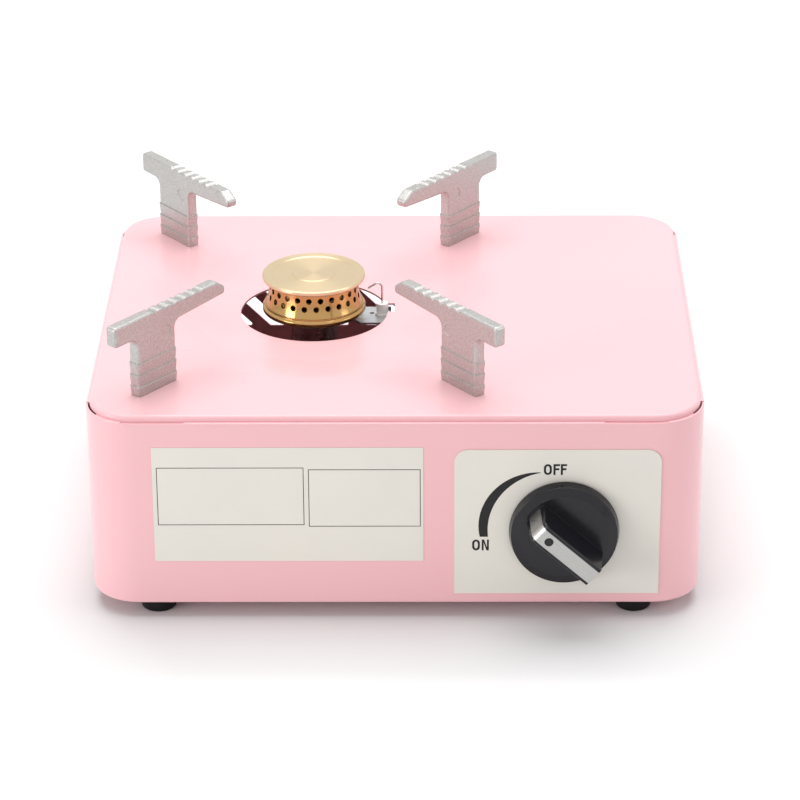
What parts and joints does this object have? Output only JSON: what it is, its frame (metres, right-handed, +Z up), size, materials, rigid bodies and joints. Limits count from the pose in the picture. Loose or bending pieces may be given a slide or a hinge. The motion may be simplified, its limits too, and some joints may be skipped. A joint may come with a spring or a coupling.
{
  "type": "butane cassette stove",
  "caption": "Compact tabletop gas stove: enamelled sheet-steel box with a dished top plate, a ported burner, lift-out pot supports, a turning knob and a rear port for a gas canister.",
  "frame": {"origin": "centre of the stove's footprint, on the surface it stands on", "axes": "+X to the right along the front, +Y to the back, +Z up; the knob faces -Y"},
  "size_m": [0.245, 0.232, 0.123],
  "materials": {
    "pink_enamel": "satin enamel",
    "cast_support": "matt silver coat",
    "brass_band": "satin",
    "brass_cap": "brushed",
    "brass_fitting": "machined",
    "dark_steel": "oxidised",
    "galvanised": "galvanised",
    "steel": "bright zinc",
    "ceramic": "glazed",
    "black_plastic": "fine texture",
    "cream_plate": "matt print",
    "bright_strip": "brushed",
    "rubber": "matt",
    "red_lead": "silicone",
    "die_cast": "as cast",
    "magnet": "ferrite",
    "piezo_plastic": "moulded"
  },
  "bodies": {
    "stove": {"body_shell": "pink_enamel", "top_plate": "pink_enamel", "plate_nuts": "steel", "burner_cap": "brass_cap", "burner_band": "brass_band", "burner_base": "brass_band", "burner_neck": "dark_steel", "neck_plug": "dark_steel", "mixing_tube": "galvanised", "jet_nozzle": "brass_fitting", "jet_union": "brass_fitting", "outlet_union": "brass_fitting", "gas_pipe": "brass_fitting", "burner_stand": "galvanised", "electrode_bracket": "galvanised", "electrode_ceramic": "ceramic", "electrode_wire": "dark_steel", "control_plate": "cream_plate", "front_label": "cream_plate", "regulator_body": "die_cast", "spindle_seal": "rubber", "diaphragm": "rubber", "diaphragm_cover": "die_cast", "spring_adjuster": "brass_fitting", "regulator_spring": "steel", "cover_screws": "steel", "inlet_nozzle": "brass_fitting", "magnet_holder": "galvanised", "magnet_ring": "magnet", "inlet_seal": "rubber", "holder_screws": "steel", "regulator_screws": "steel", "piezo_body": "piezo_plastic", "piezo_clip": "galvanised", "ignition_lead": "red_lead", "canister_cradle": "galvanised", "heat_shield": "galvanised", "chassis_screws": "steel", "foot_front_left": "rubber", "support_socket_front_left": "galvanised", "foot_front_right": "rubber", "support_socket_front_right": "galvanised", "foot_back_left": "rubber", "support_socket_back_left": "galvanised", "foot_back_right": "rubber", "support_socket_back_right": "galvanised"},
    "knob_group": {"knob": "black_plastic", "knob_insert": "bright_strip", "valve_spindle": "brass_fitting", "retaining_ring": "steel", "ignition_cam": "black_plastic"},
    "needle": {"valve_needle": "brass_fitting"},
    "plunger": {"piezo_plunger": "steel"},
    "support_front_left": {"pot_support_front_left": "cast_support"},
    "support_front_right": {"pot_support_front_right": "cast_support"},
    "support_back_left": {"pot_support_back_left": "cast_support"},
    "support_back_right": {"pot_support_back_right": "cast_support"}
  },
  "joints": [
    {"name": "knob_turn", "type": "hinge", "parent": "stove", "child": "knob_group", "pos_m": [0.067, -0.0932, 0.0395], "axis": [0, -1, 0], "range_deg": [-45, 50]},
    {"name": "needle_slide", "type": "slide", "parent": "stove", "child": "needle", "axis": [0, -1, 0], "range_m": [-0.0006, 0.0007]},
    {"name": "plunger_slide", "type": "slide", "parent": "stove", "child": "plunger", "axis": [-1, 0, 0], "range_m": [-0.002, 0.0022]},
    {"name": "lift_support_front_left", "type": "slide", "parent": "stove", "child": "support_front_left", "axis": [0, 0, 1], "range_m": [0, 0.012]},
    {"name": "lift_support_front_right", "type": "slide", "parent": "stove", "child": "support_front_right", "axis": [0, 0, 1], "range_m": [0, 0.012]},
    {"name": "lift_support_back_left", "type": "slide", "parent": "stove", "child": "support_back_left", "axis": [0, 0, 1], "range_m": [0, 0.012]},
    {"name": "lift_support_back_right", "type": "slide", "parent": "stove", "child": "support_back_right", "axis": [0, 0, 1], "range_m": [0, 0.012]}
  ],
  "couplings": [
    {"joint": "needle_slide", "follows": "knob_turn", "m_per_rad": 0.00072},
    {"joint": "plunger_slide", "follows": "knob_turn", "m_per_rad": 0.00241}
  ]
}
